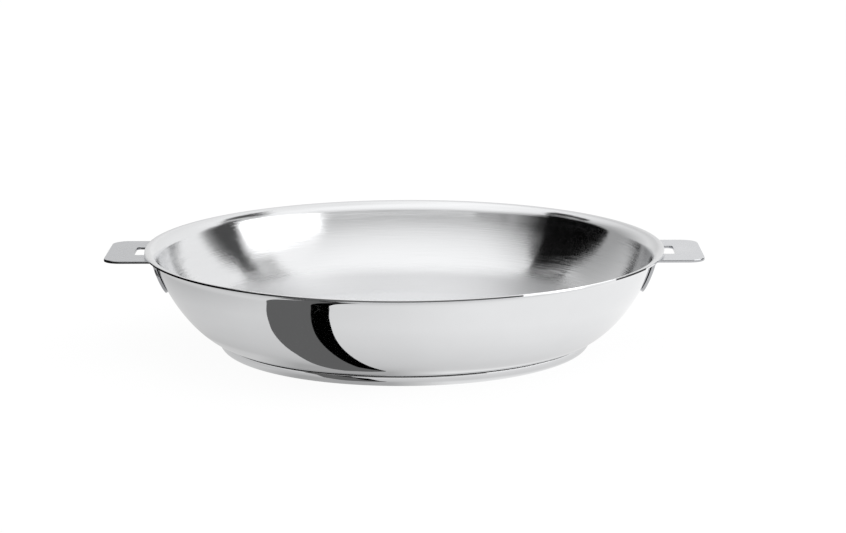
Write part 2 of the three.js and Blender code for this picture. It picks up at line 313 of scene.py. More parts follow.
print("the lip's flare starts", round(along_tab(1, lip_start[1]), 2), "mm along the blank")

# %% [markdown]
# In edit mode a maker clicks the edge or face to work on. A script has no mouse, so it chooses them by
# where they are: a test is given each one's corners, in millimetres. Blocks are added as cubes at their
# size, for the blank and for the cutter of its window.

# %% Choosing edges and faces by their place
def choose(piece, kind, test):
    bpy.ops.object.mode_set(mode="EDIT")
    bpy.ops.mesh.select_mode(type="EDGE" if kind == "edges" else "FACE")
    bpy.ops.mesh.select_all(action="DESELECT")
    bpy.ops.object.mode_set(mode="OBJECT")
    mesh = piece.data
    picked = 0
    for item in getattr(mesh, "edges" if kind == "edges" else "polygons"):
        places = [mesh.vertices[i].co / MM for i in item.vertices]
        if test(places):
            item.select = True
            picked += 1
    bpy.ops.object.mode_set(mode="EDIT")
    return picked


def block(name, low, high):
    fresh_start()
    size = (Vector(high) - Vector(low)) * MM
    bpy.ops.mesh.primitive_cube_add(size=1.0, location=(Vector(low) + Vector(high)) * MM / 2, scale=size)
    bpy.ops.object.transform_apply(location=True, rotation=True, scale=True)
    bpy.context.object.name = bpy.context.object.data.name = name
    return bpy.context.object


def upright(places):
    return abs(places[0].z - places[1].z) > 1.0


print("helpers:", ", ".join(helper.__name__ for helper in (choose, block, upright)))

# %% [markdown]
# The blank starts as a block for the flat end, with two bevelled corners. Its inner face is extruded
# twice: once while it narrows to the leg's width, and once to the leg's end, which is bevelled round.

# %% Cut the blank
OUTER_CORNER_STEPS, LEG_CORNER_STEPS = 12, 14


def tab_blank():
    neck_height = lip_start[1] - LEG_TAPER / 2
    wide_at, neck_at = along_tab(1, neck_height + LEG_TAPER), along_tab(1, neck_height)
    side = TAB_WIDTH / 2
    piece = block("right_tab_plate", (wide_at, -side, -TAB_SHEET), (BLANK_LENGTH, side, 0))
    choose(piece, "edges", lambda e: upright(e) and e[0].x > BLANK_LENGTH - 0.1)
    bpy.ops.mesh.bevel(offset=TAB_CORNER * MM, segments=OUTER_CORNER_STEPS, affect="EDGES")
    choose(piece, "faces", lambda f: all(abs(p.x - wide_at) < 0.01 for p in f))
    bpy.ops.mesh.extrude_region_move(TRANSFORM_OT_translate={"value": ((neck_at - wide_at) * MM, 0, 0)})
    bpy.ops.transform.resize(value=(1, LEG_WIDTH / TAB_WIDTH, 1))
    bpy.ops.mesh.extrude_region_move(TRANSFORM_OT_translate={"value": (-neck_at * MM, 0, 0)})
    choose(piece, "edges", lambda e: upright(e) and e[0].x < 0.01)
    leg_round = min(LEG_CORNER, neck_at - 0.05)
    bpy.ops.mesh.bevel(offset=leg_round * MM, segments=LEG_CORNER_STEPS, affect="EDGES")
    bpy.ops.object.mode_set(mode="OBJECT")
    print("blank outline has", len(piece.data.vertices), "points")
    return piece


right_tab = tab_blank()

# %% [markdown]
# The handle's claw needs a window with rounded corners. A press would punch it, and a boolean does the same:
# a block with four bevelled edges is pushed through the blank and taken away.

# %% Punch the window
WINDOW_CORNER_STEPS, PUNCH_REACH = 6, 9.0


def cut_with(piece, cutter):
    fresh_start()
    bpy.context.view_layer.objects.active = piece
    piece.select_set(True)
    cut = piece.modifiers.new("cut", "BOOLEAN")
    cut.operation, cut.solver, cut.object = "DIFFERENCE", "EXACT", cutter
    bpy.ops.object.modifier_apply(modifier="cut")
    bpy.data.objects.remove(cutter)


window_end = along_tab(0, LIP_RADIUS + WINDOW_REACH)
window = block("window", (window_end - WINDOW_DEPTH, -WINDOW_WIDTH / 2, -PUNCH_REACH),
               (window_end, WINDOW_WIDTH / 2, PUNCH_REACH))
choose(window, "edges", upright)
bpy.ops.mesh.bevel(offset=WINDOW_CORNER * MM, segments=WINDOW_CORNER_STEPS, affect="EDGES")
bpy.ops.object.mode_set(mode="OBJECT")
cut_with(right_tab, window)
print("blank with its window has", len(right_tab.data.polygons), "faces")

# %% [markdown]
# Three spot welds hold each leg: two near its top and one near its lower end. On the blank, each is a
# round pocket that the weld will fill. A bevel modifier then rounds every pressed edge. It is kept narrow
# here, and bending deepens it, because a press rounds an edge further down than across.

# %% Cut the weld pockets and round the pressed edges
WELD_RADIUS, WELD_GAP, WELD_RECESS, WELD_SPREAD, WELD_UPPER, WELD_LOWER = 2.2, 0.3, 0.2, 12.0, 5.0, 11.5
POCKET_SIDES, CUTTER_DEPTH = 32, 20.0
weld_places = {"front": (-WELD_SPREAD, WELD_UPPER), "lower": (0.0, WELD_LOWER),
               "back": (WELD_SPREAD, WELD_UPPER)}
for sideways, drop in weld_places.values():
    at = (along_tab(1, lip_start[1] - drop) * MM, sideways * MM, 0)
    fresh_start()
    bpy.ops.mesh.primitive_cylinder_add(vertices=POCKET_SIDES, radius=(WELD_RADIUS + WELD_GAP) * MM,
                                        depth=CUTTER_DEPTH * MM, location=at)
    bpy.ops.object.transform_apply(location=True)
    cut_with(right_tab, bpy.context.object)
EDGE_INSET, EDGE_ROLL, EDGE_STEPS, EDGE_SHARPER_THAN = 0.15, 0.75, 5, math.radians(60)
rounding = right_tab.modifiers.new("pressed_edge", "BEVEL")
rounding.width, rounding.segments, rounding.limit_method = EDGE_INSET * MM, EDGE_STEPS, "ANGLE"
rounding.angle_limit, rounding.use_clamp_overlap = EDGE_SHARPER_THAN, False
bpy.ops.object.modifier_apply(modifier="pressed_edge")
print("pressed blank has", len(right_tab.data.polygons), "faces")

# %% [markdown]
# A flat face can only bend where it has edges. Bisecting scores the blank across, at every point of the
# bend line, and lengthwise, for the roll round the pan.

# %% Score the blank where it will bend
LENGTHWISE_SCORES, SCORES_MERGE_WITHIN = 14, 0.01
bpy.ops.object.mode_set(mode="EDIT")
scores = [(length, (1, 0, 0)) for length in tab_lengths[1:-1]]
scores += [(TAB_WIDTH * (k / LENGTHWISE_SCORES - 0.5), (0, 1, 0)) for k in range(1, LENGTHWISE_SCORES)]
for place, normal in scores:
    bpy.ops.mesh.select_all(action="SELECT")
    bpy.ops.mesh.bisect(plane_co=Vector(normal) * place * MM, plane_no=normal)
bpy.ops.mesh.select_all(action="SELECT")
bpy.ops.mesh.remove_doubles(threshold=SCORES_MERGE_WITHIN * MM)
bpy.ops.object.mode_set(mode="OBJECT")
print("scored blank has", len(right_tab.data.polygons), "faces")

# %% [markdown]
# Bending carries each point of the blank to its place on the bend line, as deep in the sheet as it was.
# The leg is also rolled round the pan, and the roll dies out towards the flat end. A bend modifier gives
# only one radius, so the points are moved by their numbers. Before that, while the sheared faces still
# stand upright, they are marked for a finish of their own.

# %% Bend and roll the tab
SHEARED_TILT = 0.8


def bent(along, sideways, deep):
    if deep < EDGE_INSET:
        deep *= EDGE_ROLL / EDGE_INSET
    else:
        deep = EDGE_ROLL + (deep - EDGE_INSET) * (TAB_SHEET - EDGE_ROLL) / (TAB_SHEET - EDGE_INSET)
    k = max(i for i, length in enumerate(tab_lengths[:-1]) if length <= along + 1e-6) if along > 0 else 0
    share = (along - tab_lengths[k]) / (tab_lengths[k + 1] - tab_lengths[k])
    r, z, slope = (a + (b - a) * share for a, b in zip(tab_points[k], tab_points[k + 1]))
    r, z = beside((r, z, slope), deep)
    rolled = math.sqrt((r + LEG_ROLL_EASE)**2 - sideways**2) - LEG_ROLL_EASE - r
    flat = max(0.0, (along - FLAT_START) / (BLANK_LENGTH - TAB_CORNER - FLAT_START))
    return Vector((r + rolled * max(0.0, 1 - flat), sideways, z)) * MM


for face in right_tab.data.polygons:
    face.material_index = 1 if abs(face.normal.z) < SHEARED_TILT else 0
for point in right_tab.data.vertices:
    along, sideways, height = point.co / MM
    point.co = bent(along, sideways, -height)
print("sheared faces:", sum(face.material_index for face in right_tab.data.polygons))

# %% [markdown]
# The bent tab is shaded smooth, so that the scores don't show, and its sharp edges stay sharp. Weighted
# normals let the large faces decide, which keeps the flat end looking flat.

# %% Smooth the bent tab
TAB_SMOOTH_UP_TO, FLATS_WEIGHT = math.radians(35), 100
fresh_start()
bpy.context.view_layer.objects.active = right_tab
right_tab.select_set(True)
bpy.ops.object.mode_set(mode="EDIT")
bpy.ops.mesh.select_all(action="SELECT")
bpy.ops.mesh.normals_make_consistent(inside=False)
bpy.ops.object.mode_set(mode="OBJECT")
bpy.ops.object.shade_smooth_by_angle(angle=TAB_SMOOTH_UP_TO)
flats = right_tab.modifiers.new("flats", "WEIGHTED_NORMAL")
flats.keep_sharp, flats.weight = True, FLATS_WEIGHT
bpy.ops.object.modifier_apply(modifier="flats")
print("tab spans", [round(v / MM, 2) for v in right_tab.dimensions])

# %% [markdown]
# A spot weld is a round nugget with a shallow dish where the electrode pressed. A cylinder gives its
# size, an inset gives the dish, and a bevel takes the sharpness off its rim.

# %% Make one weld and set three on the leg
WELD_SIDES, WELD_RIM_ROUND, WELD_SMOOTH_UP_TO = 40, 0.25, math.radians(50)
WELD_DISH = ((0.35, 0.0), (0.25, 0.06), (0.35, 0.1), (0.4, 0.05))


def spot_weld(name, sideways, drop):
    r, z, slope = on_outside(lip_start[1] - drop)
    turn = math.asin(sideways / r)
    out = Vector((math.sin(slope) * math.cos(turn), math.sin(slope) * math.sin(turn), -math.cos(slope)))
    leg = math.sqrt((r + LEG_ROLL_EASE)**2 - sideways**2) - LEG_ROLL_EASE
    stand_off = leg - math.sqrt(r**2 - sideways**2) + TAB_GAP
    face = stand_off + TAB_SHEET - WELD_RECESS
    fresh_start()
    bpy.ops.mesh.primitive_cylinder_add(vertices=WELD_SIDES, radius=WELD_RADIUS * MM,
                                        depth=(face - WELD_GAP) * MM,
                                        location=(0, 0, (face + WELD_GAP) / 2 * MM))
    piece = bpy.context.object
    bpy.ops.object.transform_apply(location=True)
    choose(piece, "faces", lambda f: all(p.z > face - 0.01 for p in f))
    bpy.ops.mesh.bevel(offset=WELD_RIM_ROUND * MM, segments=3, affect="EDGES")
    choose(piece, "faces", lambda f: len(f) > 8 and all(p.z > face - 0.01 for p in f))
    for inset, press in WELD_DISH:
        bpy.ops.mesh.inset(thickness=inset * MM, depth=-press * MM)
    bpy.ops.object.mode_set(mode="OBJECT")
    bpy.ops.object.shade_smooth_by_angle(angle=WELD_SMOOTH_UP_TO)
    piece.name = piece.data.name = name
    ring = piece.data.attributes.new("from_middle", "FLOAT", "POINT")
    for point, value in zip(piece.data.vertices, ring.data):
        value.value = math.hypot(point.co.x, point.co.y) / (WELD_RADIUS * MM)
    at = Vector((r * math.cos(turn), sideways, z)) * MM
    piece.data.transform(Matrix.Translation(at) @ out.to_track_quat("Z", "Y").to_matrix().to_4x4())
    return piece


right_welds = {place: spot_weld(f"right_{place}_nugget", *at) for place, at in weld_places.items()}
print("welds:", ", ".join(w.name for w in right_welds.values()))

# %% [markdown]
# The left side is the same, turned half round the pan. Each copy has its own mesh, turned in place.

# %% Copy the tab and its welds to the left
def half_round(piece, name):
    fresh_start()
    bpy.context.view_layer.objects.active = piece
    piece.select_set(True)
    bpy.ops.object.duplicate(linked=False)
    copy = bpy.context.object
    copy.name = copy.data.name = name
    copy.rotation_euler = (0, 0, math.pi)
    bpy.ops.object.transform_apply(rotation=True)
    return copy


left_tab = half_round(right_tab, "left_tab_plate")
left_welds = {place: half_round(weld, f"left_{place}_nugget") for place, weld in right_welds.items()}
print("left side:", left_tab.name, [round(v, 4) for v in left_tab.dimensions])

# %% [markdown]
# ## Floor and studio
# Polished steel has hardly any look of its own: what we see in it is the studio around it. A white floor,
# one softbox on the right and boards at the sides, most of them dark, are enough to draw this pan. The
# boards show only in the metal, so the picture's background stays plain white.
#
# Floor, room, boards and metals are all made of shader nodes. Adding and linking them takes many lines, so a
# few short words come first.

# %% Add nodes and do sums with them
def add(tree, kind, **inputs):
    node = tree.nodes.new("ShaderNode" + kind)
    for name, value in inputs.items():
        numbered = name[0] == "i" and name[1:].isdigit()
        socket = node.inputs[int(name[1:]) if numbered else name.replace("_", " ")]
        if isinstance(value, bpy.types.NodeSocket):
            tree.links.new(value, socket)
        else:
            socket.default_value = value
    return node


def maths(tree, operation, a, b=0.0, c=0.0):
    node = add(tree, "Math", i0=a, i1=b, i2=c)
    node.operation = operation
    return node.outputs[0]


def weigh(tree, value, weight, start):
    return maths(tree, "MULTIPLY_ADD", value, weight, start)


print("words:", ", ".join(word.__name__ for word in (add, maths, weigh)))

# %% [markdown]
# A ramp turns a value into a tone, by stops that each give a place and its tone. A blend mixes two tones by
# a share. Each material starts empty, with only its output.

# %% Ramps, blends and empty materials
def ramp(tree, value, *stops):
    node = add(tree, "ValToRGB", Fac=value)
    ramp_stops = node.color_ramp.elements
    while len(ramp_stops) < len(stops):
        ramp_stops.new(0.5)
    for stop, (place, tone) in zip(ramp_stops, stops):
        stop.position = place
        stop.color = (*tone, 1) if isinstance(tone, tuple) else (tone, tone, tone, 1)
    return node.outputs["Color"]


def blend(tree, share, first, second, how="MIX"):
    node = add(tree, "MixRGB", Fac=share, Color1=first, Color2=second)
    node.blend_type = how
    return node.outputs[0]


def empty_material(name):
    material = bpy.data.materials.new(name)
    material.use_nodes = True
    material.node_tree.nodes.clear()
    return material, material.node_tree, add(material.node_tree, "OutputMaterial")


print("words:", ", ".join(word.__name__ for word in (ramp, blend, empty_material)))

# %% [markdown]
# The floor is one large sheet of paper. To the camera it is white and keeps a faint shadow of the pan. In
# the steel it is pale paper with painted shade on it: darker to the left, away from the softbox, and close
# round the foot, where the pan keeps light off it. That painted ring of shade is darkest on the left, so
# there are two of them, and the place across the floor chooses between them.

# %% Lay the floor
FLOOR_SIZE, PAPER_WHITE, SHADOW_DEPTH = 12.0, 0.93, 0.09
ACROSS_FLOOR, FOOT_OFFSET, RING_SCALE = 1.6, 0.006, 4.0


def floor_paper():
    material, tree, output = empty_material("floor_paper")
    place = add(tree, "SeparateXYZ", Vector=add(tree, "TexCoord").outputs["Object"]).outputs
    across = weigh(tree, place["X"], ACROSS_FLOOR, 0.5)
    left = maths(tree, "ADD", place["X"], FOOT_OFFSET)
    depth = maths(tree, "MULTIPLY", place["Y"], place["Y"])
    off_axis = maths(tree, "SQRT", weigh(tree, left, left, depth))
    outward = maths(tree, "MULTIPLY", off_axis, RING_SCALE)
    # Painted shadow of the pan round its foot, as the steel sees the floor: one ring for the left, one for
    # the right.
    foot_left = ramp(tree, outward, (0.40, 0.52), (0.416, 0.54), (0.428, 0.66), (0.444, 0.76), (0.472, 0.84),
                     (0.528, 0.93), (0.60, 1.0))
    foot_right = ramp(tree, outward, (0.40, 1.0), (0.416, 1.0), (0.428, 0.80), (0.444, 0.80), (0.472, 0.86),
                      (0.528, 0.94), (0.60, 1.0))
    to_right = ramp(tree, across, (0.37, 0.62), (0.41, 0.0), (0.49, 0.0), (0.54, 1.0))
    painted_foot_shade = blend(tree, to_right, foot_left, foot_right)
    # Painted falloff of the softbox's light across the floor, darker to the left.
    paper = ramp(tree, across, (0.1, 0.46), (0.3, 0.74), (0.5, 0.86), (0.63, 0.965), (0.85, 1.0))
    in_steel = add(tree, "Emission", Color=blend(tree, 1.0, paper, painted_foot_shade, "MULTIPLY"))
    white = add(tree, "Emission", Color=(1, 1, 1, 1), Strength=PAPER_WHITE)
    shaded = add(tree, "BsdfDiffuse", Color=(SHADOW_DEPTH, SHADOW_DEPTH, SHADOW_DEPTH, 1))
    to_camera = add(tree, "AddShader", i0=white.outputs[0], i1=shaded.outputs[0])
    rays = add(tree, "LightPath")
    mixed = add(tree, "MixShader", Fac=rays.outputs["Is Glossy Ray"], i1=to_camera.outputs[0],
                i2=in_steel.outputs[0])
    tree.links.new(mixed.outputs[0], output.inputs["Surface"])
    return material


fresh_start()
bpy.ops.mesh.primitive_plane_add(size=FLOOR_SIZE, location=(0, 0, 0))
floor = bpy.context.object
floor.name = "floor"
floor.data.materials.append(floor_paper())
print("floor", tuple(floor.dimensions))

# %% [markdown]
# The room is a few soft gradients on the world, which the steel mirrors and the camera doesn't see. In front
# it is dark at the horizon, has a low bright band and a dip, and grows bright above. That shades the pan's
# back wall from top to bottom. It falls off to the left, and beside the softbox on the right it is bright
# with spilled light. Behind the pan the room is paler on the right, and pale all over higher up.

# %% Light the room
SPILL_TONE, DEPTH_BLEND, ROOM_LIGHT = 0.91, 2.5, 1.15


def studio_room():
    world = bpy.data.worlds.new("studio")
    bpy.context.scene.world = world
    world.use_nodes = True
    tree = world.node_tree
    tree.nodes.clear()
    way = add(tree, "SeparateXYZ", Vector=add(tree, "TexCoord").outputs["Generated"]).outputs
    across = weigh(tree, way["X"], 0.5, 0.5)
    front = ramp(tree, way["Z"], (0.0, 0.05), (0.12, 0.40), (0.22, 0.90), (0.30, 0.80), (0.37, 0.46),
                 (0.43, 0.45), (0.50, 0.53), (0.552, 0.61), (0.649, 0.76), (0.737, 0.845), (0.819, 0.92),
                 (1.0, 0.98))
    to_left = ramp(tree, across, (0.07, 0.28), (0.10, 0.52), (0.135, 0.78), (0.17, 0.9), (0.22, 1.0))
    front = blend(tree, 1.0, front, to_left, "MULTIPLY")
    spill = maths(tree, "MULTIPLY", ramp(tree, across, (0.79, 0.0), (0.82, 1.0)),
                  ramp(tree, way["Z"], (0.1, 0.0), (0.25, 1.0)))
    front = blend(tree, spill, front, (SPILL_TONE, SPILL_TONE, SPILL_TONE, 1))
    behind = ramp(tree, across, (0.08, 0.33), (0.2, 0.52), (0.33, 0.68), (0.44, 0.57), (0.48, 0.67),
                  (0.52, 0.70), (0.54, 0.78), (0.6, 0.74), (0.8, 0.80))
    above = ramp(tree, across, (0.2, 0.86), (0.32, 0.88), (0.42, 1.0), (0.47, 0.92), (0.57, 0.80),
                 (0.8, 0.92))
    behind = blend(tree, ramp(tree, way["Z"], (0.50, 0.0), (0.85, 1.0)), behind, above)
    depth = ramp(tree, weigh(tree, way["Y"], DEPTH_BLEND, 0.5), (0.0, 0.0), (1.0, 1.0))
    felt = add(tree, "Background", Color=blend(tree, depth, front, behind), Strength=ROOM_LIGHT)
    seen = add(tree, "Background", Color=(1, 1, 1, 1), Strength=1.0)
    mixed = add(tree, "MixShader", Fac=add(tree, "LightPath").outputs["Is Camera Ray"], i1=felt.outputs[0],
                i2=seen.outputs[0])
    tree.links.new(mixed.outputs[0], add(tree, "OutputWorld").inputs["Surface"])
    return tree


print("the room has", len(studio_room().nodes), "nodes")

# %% [markdown]
# Each board is drawn as an outline and filled with one face. It glows with one grey, or with a fade along
# its length, and only the steel can see it. A real photographer moves card about until the metal looks
# right, and these outlines were found in the same way.

# %% Make a board
FADE_SHIFT = 0.5
BLACK, NEAR_BLACK = 0.0, 0.06


def board(name, corners, tone):
    """A tone is one grey, or the stops of a fade from half a metre in front to half a metre behind."""
    piece = draw_line(name, corners)
    bpy.ops.mesh.select_all(action="SELECT")
    bpy.ops.mesh.edge_face_add()
    bpy.ops.object.mode_set(mode="OBJECT")
    material, tree, output = empty_material(name + "_paper")
    glow = add(tree, "Emission")
    if isinstance(tone, tuple):
        at = add(tree, "SeparateXYZ", Vector=add(tree, "TexCoord").outputs["Object"]).outputs["Y"]
        tree.links.new(ramp(tree, maths(tree, "ADD", at, FADE_SHIFT), *tone), glow.inputs["Color"])
    else:
        glow.inputs["Color"].default_value = (tone, tone, tone, 1)
    tree.links.new(glow.outputs[0], output.inputs["Surface"])
    piece.data.materials.append(material)
    piece.visible_camera = piece.visible_diffuse = piece.visible_shadow = False
    piece.visible_transmission = piece.visible_volume_scatter = False
    print(name, "has", len(piece.data.vertices), "corners")


def upright_board(name, x, tone, outline):
    board(name, [(x, y, z) for y, z in outline], tone)


def floor_strip(name, height, tone, outline):
    board(name, [(x, y, height) for x, y in outline], tone)


print("boards stand upright or lie flat:", upright_board.__name__, floor_strip.__name__)

# %% [markdown]
# On the left stands a black board, which the right side of the pan's inside mirrors. Its arm leans back, for
# the dark line in the lip's flare, with a grey root in between. Veils soften its front edge.

# %% Stand the boards on the left
LEFT_SIDE = -600
upright_board("black_board", LEFT_SIDE, BLACK,
              [(-420, 0), (-420, 55), (-110, 60), (-92, 269), (-54, 396), (-17, 474), (20, 559), (68, 657),
               (116, 760), (168, 785), (213, 737), (253, 672), (293, 607), (338, 537), (342, 460), (382, 338),
               (398, 210), (398, 0)])
upright_board("black_arm_root", LEFT_SIDE, 0.55,
              [(116, 760), (180, 850), (300, 850), (400, 790), (398, 626), (342, 460), (338, 537), (293, 607),
               (253, 672), (213, 737), (168, 785)])
upright_board("black_arm", LEFT_SIDE, BLACK,
              [(180, 850), (189, 866), (300, 1000), (342, 1045), (574, 1238), (942, 1488), (804, 1137),
               (700, 950), (649, 863), (398, 626), (400, 790), (300, 850)])
upright_board("left_veil", LEFT_SIDE, ((0.10, 0.48), (0.218, 0.27), (0.287, 0.16), (0.38, 0.02)),
              [(-400, 55), (-400, 300), (-330, 420), (-210, 440), (-35, 440), (-54, 396), (-92, 269),
               (-110, 60)])
upright_board("left_veil_top", LEFT_SIDE, ((0.29, 0.50), (0.414, 0.24), (0.50, 0.06), (0.568, 0.02)),
              [(-35, 440), (-210, 440), (-180, 520), (-90, 560), (10, 650), (68, 657), (20, 559), (-17, 474)])
upright_board("left_veil_end", LEFT_SIDE, ((0.0, 0.36), (0.14, 0.24)),
              [(-400, 250), (-400, 300), (-330, 420), (-420, 460), (-780, 510), (-780, 300)])

# %% [markdown]
# On the right stands a narrower dark board with an arm of the same kind and a veil along its back edge.
# Beyond it, a white board carries on from the softbox's edge. A grey one, higher up, shows on the wall just
# below the white patch.

# %% Stand the boards on the right
RIGHT_SIDE, WHITE_BOARD_SIDE, GREY_BOARD_SIDE = 500, 760, 650
upright_board("dark_board", RIGHT_SIDE, NEAR_BLACK,
              [(10, 0), (10, 60), (88, 80), (90, 211), (112, 282), (134, 333), (166, 403), (190, 466),
               (215, 545), (262, 577), (308, 550), (318, 470), (277, 400), (255, 310), (247, 0)])
upright_board("dark_arm_root", RIGHT_SIDE, 0.71,
              [(190, 466), (190, 632), (175, 740), (300, 745), (390, 690), (390, 555), (345, 489), (318, 470),
               (308, 550), (262, 577), (215, 545)])
upright_board("dark_arm", RIGHT_SIDE, NEAR_BLACK,
              [(175, 740), (165, 791), (300, 930), (729, 1338), (1123, 1624), (853, 1117), (640, 880),
               (455, 665), (390, 555), (390, 690), (300, 745)])
upright_board("right_veil", RIGHT_SIDE, ((0.747, 0.06), (0.822, 0.32), (0.889, 0.90)),
              [(247, 0), (255, 310), (277, 400), (318, 424), (352, 370), (389, 280), (389, 0)])
upright_board("white_board", WHITE_BOARD_SIDE, 1.22, [(80, 30), (80, 600), (420, 640), (420, 30)])
upright_board("grey_board", GREY_BOARD_SIDE, 0.54, [(28, 621), (221, 527), (330, 695), (156, 871)])

# %% [markdown]
# Two strips lie on the floor in front, side by side. The pan's outside shows them as one dark curved band,
# grey on the left and black on the right, so they share the line between them. A black cloth on the floor,
# out to the left, gives the lip and the left tab their dark edges.

# %% Lay the strips and the cloth
STRIP_HEIGHT, CLOTH_HEIGHT = 0.5, 0.4
left_line = [(-9, -105), (-25, -101.5), (-31, -99.6), (-38, -98.4), (-45.5, -97.8), (-51, -98), (-57, -98.9),
             (-62, -99.8), (-67, -100.4), (-72, -101.2), (-77, -102.4), (-81.5, -103.8), (-86, -105.4),
             (-90, -107.2), (-94, -109.6), (-98.5, -112.6), (-103.5, -115.8), (-109, -119.6), (-115, -124.2),
             (-121.5, -129.6), (-127, -134), (-200, -195)]
parting = [(-9, -105.3), (-25, -106.8), (-32, -109.4), (-37, -111.7), (-41, -113.8), (-45, -116),
           (-49, -118.4), (-53, -121.1), (-57, -124.2), (-60, -127), (-63, -130.2), (-66.3, -134),
           (-70, -138.8), (-74, -144.4), (-78.3, -150.6), (-83, -158), (-150, -265)]
right_line = [(-9, -105.6), (-18, -109.3), (-24, -112.5), (-28, -115), (-32, -117.7), (-35.5, -120.4),
              (-39, -123.3), (-42, -126.4), (-45, -129.8), (-47.7, -133.3), (-50.4, -137.3), (-53.4, -142),
              (-56.8, -147.5), (-60.2, -153.4), (-63.7, -160.2), (-67.3, -168), (-130, -300)]
floor_strip("grey_strip", STRIP_HEIGHT, 0.13, left_line + parting[::-1])
floor_strip("black_strip", STRIP_HEIGHT, BLACK, parting + right_line[::-1])
floor_strip("black_cloth", CLOTH_HEIGHT, BLACK,
            [(-205, 700), (-205, -60), (-150, -150), (-112, -195), (-112, -340), (-400, -900), (-3000, -1500),
             (-3000, 700)])

# %% [markdown]
# The softbox is an upright area lamp on the right, turned a little to the front. Its straight edges bound the
# white patch on the pan's inside.

# %% Hang the softbox
SOFTBOX_WIDTH, SOFTBOX_HEIGHT, SOFTBOX_POWER = 0.82, 0.68, 2.1
SOFTBOX_PLACE, SOFTBOX_BACK = (0.8535, -0.258, 0.37), (0.961, -0.276, 0)
softbox = bpy.data.objects.new("softbox", bpy.data.lights.new("softbox", "AREA"))
bpy.context.scene.collection.objects.link(softbox)
softbox.data.shape, softbox.data.energy = "RECTANGLE", SOFTBOX_POWER
softbox.data.size, softbox.data.size_y = SOFTBOX_WIDTH, SOFTBOX_HEIGHT
softbox.location = Vector(SOFTBOX_PLACE)
softbox.rotation_mode = "QUATERNION"
softbox.rotation_quaternion = Vector(SOFTBOX_BACK).to_track_quat("Z", "Y")
softbox.visible_camera = False
print("softbox at", tuple(round(v, 2) for v in softbox.location))

# %% [markdown]
# ## Finishes
# The pan is steel nearly everywhere, but each surface was worked in its own way: mirror-polished outside,
# turned on a polishing wheel inside, satin on the tabs. What they share is written once, as node groups
# that give only patterns. Each material then uses a pattern with its own strength.

# %% Start a node group
def new_group(name, inputs, outputs):
    group = bpy.data.node_groups.new(name, "ShaderNodeTree")
    for socket, kind, value in inputs:
        made = group.interface.new_socket(socket, in_out="INPUT", socket_type="NodeSocket" + kind)
        if value is not None:
            made.default_value = value
    for socket in outputs:
        group.interface.new_socket(socket, in_out="OUTPUT", socket_type="NodeSocketFloat")
    given = group.nodes.new("NodeGroupInput").outputs
    result = group.nodes.new("NodeGroupOutput").inputs
    return group, given, result


def place_group(tree, group, **inputs):
    node = add(tree, "Group")
    node.node_tree = group
    for name, value in inputs.items():
        if isinstance(value, bpy.types.NodeSocket):
            tree.links.new(value, node.inputs[name])
        else:
            node.inputs[name].default_value = value
    return node.outputs


def stretched(tree, x, y, z, detail=2.0):
    noise = add(tree, "TexNoise", Vector=add(tree, "CombineXYZ", X=x, Y=y, Z=z).outputs[0], Scale=1.0,
                Detail=detail, Roughness=0.5)
    return noise.outputs[0]


def drawn_out(tree, at, *counts):
    """Lines of noise, so many to the metre along X, Y and Z."""
    return stretched(tree, *(maths(tree, "MULTIPLY", at[axis], count) for axis, count in zip("XYZ", counts)))


print("words:", ", ".join(word.__name__ for word in (new_group, place_group, stretched, drawn_out)))

# %% [markdown]
# A polishing wheel runs round and round the pan, so its marks are long arcs: thousands to the metre across
# the arcs, and a few to the turn along them. Noise gives that when its third coordinate is the way up the
# section (radius plus height) and the first two only say which way round we are.

# %% Group: lines turned round the pan
NEAR_AXIS, STREAK_TURNS, STREAK_LINES, STREAK_SHIFT = 0.0001, 1.7, 0.6, 40.0


def turned_lines_group():
    inputs = [("Place", "Vector", None), ("Lines", "Float", 2500.0), ("Turns", "Float", 3.0)]
    group, given, result = new_group("turned_lines", inputs, ["Fine", "Streaks", "Radius"])
    at = add(group, "SeparateXYZ", Vector=given["Place"]).outputs
    radius = maths(group, "SQRT", maths(group, "ADD", maths(group, "MULTIPLY", at["X"], at["X"]),
                                        maths(group, "MULTIPLY", at["Y"], at["Y"])))
    safe = maths(group, "MAXIMUM", radius, NEAR_AXIS)
    east = maths(group, "MULTIPLY", maths(group, "DIVIDE", at["X"], safe), given["Turns"])
    north = maths(group, "MULTIPLY", maths(group, "DIVIDE", at["Y"], safe), given["Turns"])
    up_section = maths(group, "MULTIPLY", maths(group, "ADD", radius, at["Z"]), given["Lines"])
    fine = stretched(group, east, north, up_section, 1.0)
    streaks = stretched(group, maths(group, "MULTIPLY", east, STREAK_TURNS),
                        maths(group, "MULTIPLY", north, STREAK_TURNS),
                        weigh(group, up_section, STREAK_LINES, STREAK_SHIFT), 2.0)
    for name, value in (("Fine", fine), ("Streaks", streaks), ("Radius", radius)):
        group.links.new(value, result[name])
    return group


turned_lines = turned_lines_group()
print("turned lines:", len(turned_lines.nodes), "nodes")

# %% [markdown]
# No polish is perfectly even. Haze is a slow, cloudy change that makes some patches a little duller. Hair
# scratches are the thin lines that wiping leaves: the places where a stretched noise crosses its middle
# value, kept only here and there.

# %% Groups: haze and hair scratches
SCRATCH_TURNS, SCRATCH_SCALE = [(0.3, turn, turn * 1.7) for turn in (0.4, 1.9)], (14, 160, 160)


def haze_group():
    inputs = [("Place", "Vector", None), ("Patches", "Float", 25.0)]
    group, given, result = new_group("haze", inputs, ["Haze"])
    cloud = add(group, "TexNoise", Vector=given["Place"], Scale=given["Patches"], Detail=4.0, Roughness=0.6)
    spread = add(group, "MapRange", Value=cloud.outputs[0], From_Min=0.3, From_Max=0.7)
    group.links.new(spread.outputs[0], result["Haze"])
    return group


